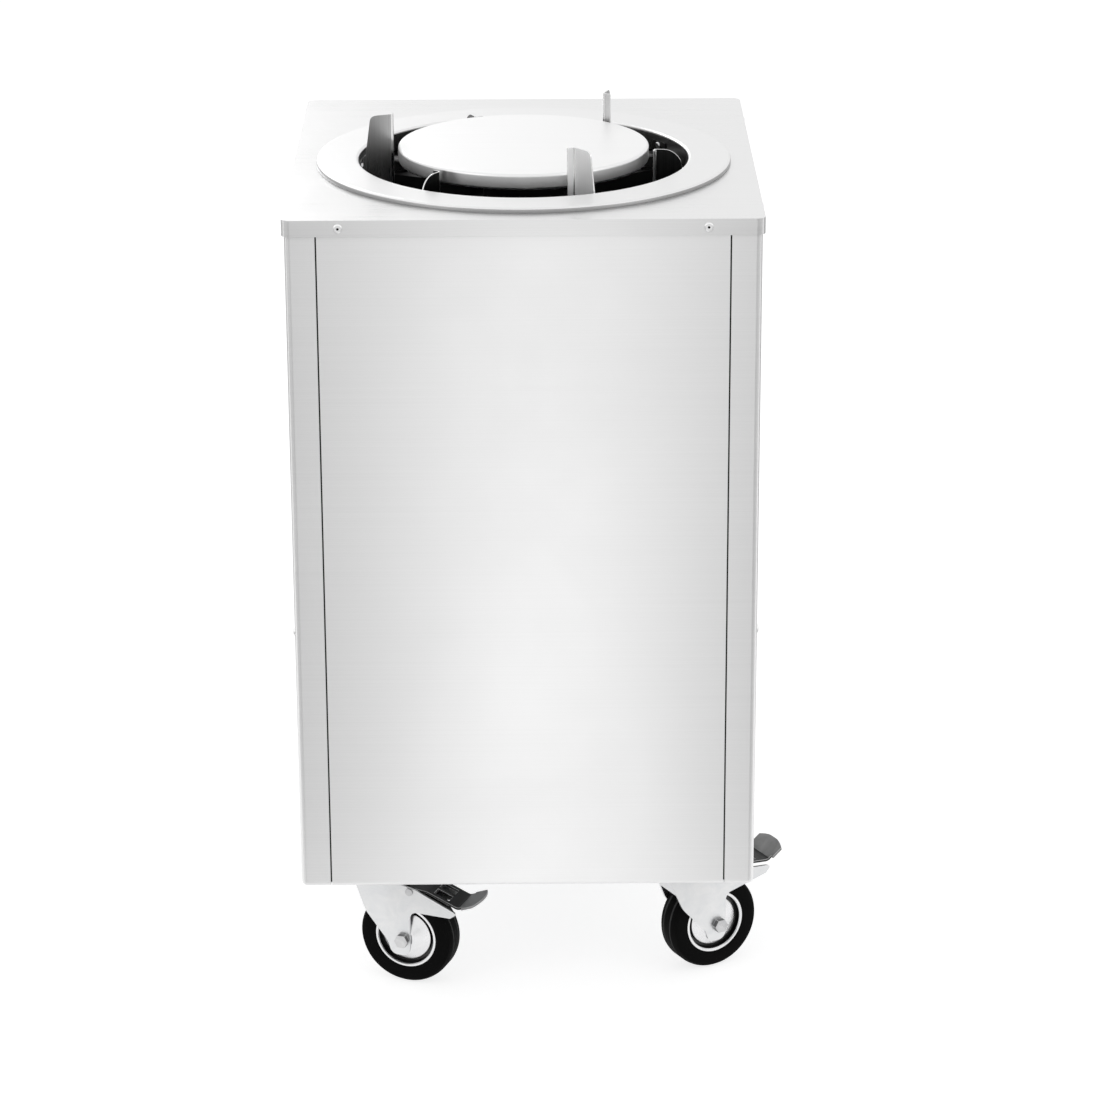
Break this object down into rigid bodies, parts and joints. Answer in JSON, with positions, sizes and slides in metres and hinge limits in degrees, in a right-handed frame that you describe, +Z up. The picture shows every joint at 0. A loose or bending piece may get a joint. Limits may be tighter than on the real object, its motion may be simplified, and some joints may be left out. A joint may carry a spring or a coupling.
{
  "type": "mobile plate dispenser",
  "caption": "Mobile heated plate dispenser: brushed steel cabinet on braked swivel castors, with a round well, raised ring, guide blades and a spring-carried platform.",
  "frame": {"origin": "on the floor, under the middle of the cabinet", "axes": "+Z up, -Y towards the front, +X to the right of someone who looks at the front"},
  "size_m": [0.5151, 0.4985, 0.8568],
  "materials": {
    "stainless_panel": "brushed stainless sheet, satin",
    "stainless_deck": "bright stainless sheet, fine satin",
    "stainless_guide": "folded stainless sheet",
    "black_enamel": "matt black enamel",
    "galvanised_sheet": "zinc coated sheet, dull",
    "zinc_plate": "bright zinc plate",
    "rivet_alloy": "bright aluminium rivet",
    "screw_steel": "plated screw",
    "rod_chrome": "ground and chromed rod",
    "bush_polymer": "natural white bearing polymer",
    "buffer_rubber": "black rubber",
    "spring_steel": "oil hardened spring wire",
    "heater_sheath": "tubular heater sheath, heat tinted",
    "terminal_ceramic": "cream insulating block",
    "black_plastic": "black moulding",
    "rocker_red": "red moulding",
    "lamp_amber": "amber lens",
    "tyre_black": "black elastic rubber tyre",
    "rim_steel": "zinc plated pressed rim",
    "pedal_dark": "dark burnished steel"
  },
  "bodies": {
    "cabinet": {"top_cover": "stainless_deck", "left_side_panel": "stainless_panel", "right_side_panel": "stainless_panel", "front_panel": "stainless_panel", "rear_panel": "stainless_panel", "corner_posts": "black_enamel", "base_pan": "galvanised_sheet", "pop_rivets": "rivet_alloy", "rim_ring": "stainless_deck", "well_liner": "black_enamel", "guide_screws": "screw_steel", "guide_rods": "rod_chrome", "rod_brackets": "black_enamel", "stop_buffers": "buffer_rubber", "spring_cup": "galvanised_sheet", "lift_spring": "spring_steel", "heating_element": "heater_sheath", "heater_brackets": "galvanised_sheet", "terminal_block": "terminal_ceramic", "control_pan": "stainless_panel", "thermostat_body": "black_plastic", "pilot_lamp": "lamp_amber", "switch_housing": "black_plastic", "cord_gland": "black_plastic", "castor_plates": "zinc_plate", "castor_bolts": "screw_steel", "kingpins": "zinc_plate", "tall_guide_1": "stainless_guide", "low_guide_1": "stainless_guide", "tall_guide_2": "stainless_guide", "low_guide_2": "stainless_guide", "tall_guide_3": "stainless_guide", "low_guide_3": "stainless_guide"},
    "carriage": {"carriage_spider": "black_enamel", "carriage_bushes": "bush_polymer", "platform_post": "black_enamel", "platform_screws": "screw_steel", "platform": "stainless_deck"},
    "thermostat_dial": {"thermostat_knob": "black_plastic"},
    "power_rocker": {"switch_rocker": "rocker_red"},
    "front_left_swivel": {"front_left_fork": "zinc_plate", "front_left_axle_set": "screw_steel"},
    "front_left_wheel": {"front_left_rim": "rim_steel", "front_left_tyre": "tyre_black"},
    "front_left_brake": {"front_left_pedal": "pedal_dark"},
    "front_right_swivel": {"front_right_fork": "zinc_plate", "front_right_axle_set": "screw_steel"},
    "front_right_wheel": {"front_right_rim": "rim_steel", "front_right_tyre": "tyre_black"},
    "front_right_brake": {"front_right_pedal": "pedal_dark"},
    "rear_right_swivel": {"rear_right_fork": "zinc_plate", "rear_right_axle_set": "screw_steel"},
    "rear_right_wheel": {"rear_right_rim": "rim_steel", "rear_right_tyre": "tyre_black"},
    "rear_right_brake": {"rear_right_pedal": "pedal_dark"},
    "rear_left_swivel": {"rear_left_fork": "zinc_plate", "rear_left_axle_set": "screw_steel"},
    "rear_left_wheel": {"rear_left_rim": "rim_steel", "rear_left_tyre": "tyre_black"},
    "rear_left_brake": {"rear_left_pedal": "pedal_dark"}
  },
  "joints": [
    {"name": "platform_lift", "type": "slide", "parent": "cabinet", "child": "carriage", "axis": [0, 0, 1], "range_m": [-0.44, 0], "stiffness_N_per_m": 600, "springref_m": 0.1, "deforming": ["lift_spring"]},
    {"name": "thermostat_turn", "type": "hinge", "parent": "cabinet", "child": "thermostat_dial", "pos_m": [-0.052, 0.2175, 0.6938], "axis": [0, 1, 0], "range_deg": [-270, 0]},
    {"name": "rocker_tip", "type": "hinge", "parent": "cabinet", "child": "power_rocker", "pos_m": [0.022, 0.2145, 0.6938], "axis": [1, 0, 0], "range_deg": [0, 20]},
    {"name": "front_left_steer", "type": "hinge", "parent": "cabinet", "child": "front_left_swivel", "pos_m": [-0.153, -0.168, 0.117], "axis": [0, 0, 1], "continuous": true},
    {"name": "front_left_roll", "type": "hinge", "parent": "front_left_swivel", "child": "front_left_wheel", "pos_m": [-0.11939, -0.1809, 0.05], "axis": [0.3584, 0.9336, 0], "continuous": true},
    {"name": "front_left_press", "type": "hinge", "parent": "front_left_swivel", "child": "front_left_brake", "pos_m": [-0.11192, -0.18377, 0.10446], "axis": [0.3584, 0.9336, 0], "range_deg": [-16, 0]},
    {"name": "front_right_steer", "type": "hinge", "parent": "cabinet", "child": "front_right_swivel", "pos_m": [0.153, -0.168, 0.117], "axis": [0, 0, 1], "continuous": true},
    {"name": "front_right_roll", "type": "hinge", "parent": "front_right_swivel", "child": "front_right_wheel", "pos_m": [0.18433, -0.15027, 0.05], "axis": [-0.4924, 0.8704, 0], "continuous": true},
    {"name": "front_right_press", "type": "hinge", "parent": "front_right_swivel", "child": "front_right_brake", "pos_m": [0.1913, -0.14633, 0.10446], "axis": [-0.4924, 0.8704, 0], "range_deg": [0, 16]},
    {"name": "rear_right_steer", "type": "hinge", "parent": "cabinet", "child": "rear_right_swivel", "pos_m": [0.153, 0.168, 0.117], "axis": [0, 0, 1], "continuous": true},
    {"name": "rear_right_roll", "type": "hinge", "parent": "rear_right_swivel", "child": "rear_right_wheel", "pos_m": [0.11939, 0.1809, 0.05], "axis": [-0.3584, -0.9336, 0], "continuous": true},
    {"name": "rear_right_press", "type": "hinge", "parent": "rear_right_swivel", "child": "rear_right_brake", "pos_m": [0.11192, 0.18377, 0.10446], "axis": [-0.3584, -0.9336, 0], "range_deg": [0, 16]},
    {"name": "rear_left_steer", "type": "hinge", "parent": "cabinet", "child": "rear_left_swivel", "pos_m": [-0.153, 0.168, 0.117], "axis": [0, 0, 1], "continuous": true},
    {"name": "rear_left_roll", "type": "hinge", "parent": "rear_left_swivel", "child": "rear_left_wheel", "pos_m": [-0.18175, 0.18967, 0.05], "axis": [-0.6018, -0.7986, 0], "continuous": true},
    {"name": "rear_left_press", "type": "hinge", "parent": "rear_left_swivel", "child": "rear_left_brake", "pos_m": [-0.18814, 0.19448, 0.10446], "axis": [-0.6018, -0.7986, 0], "range_deg": [0, 16]}
  ]
}
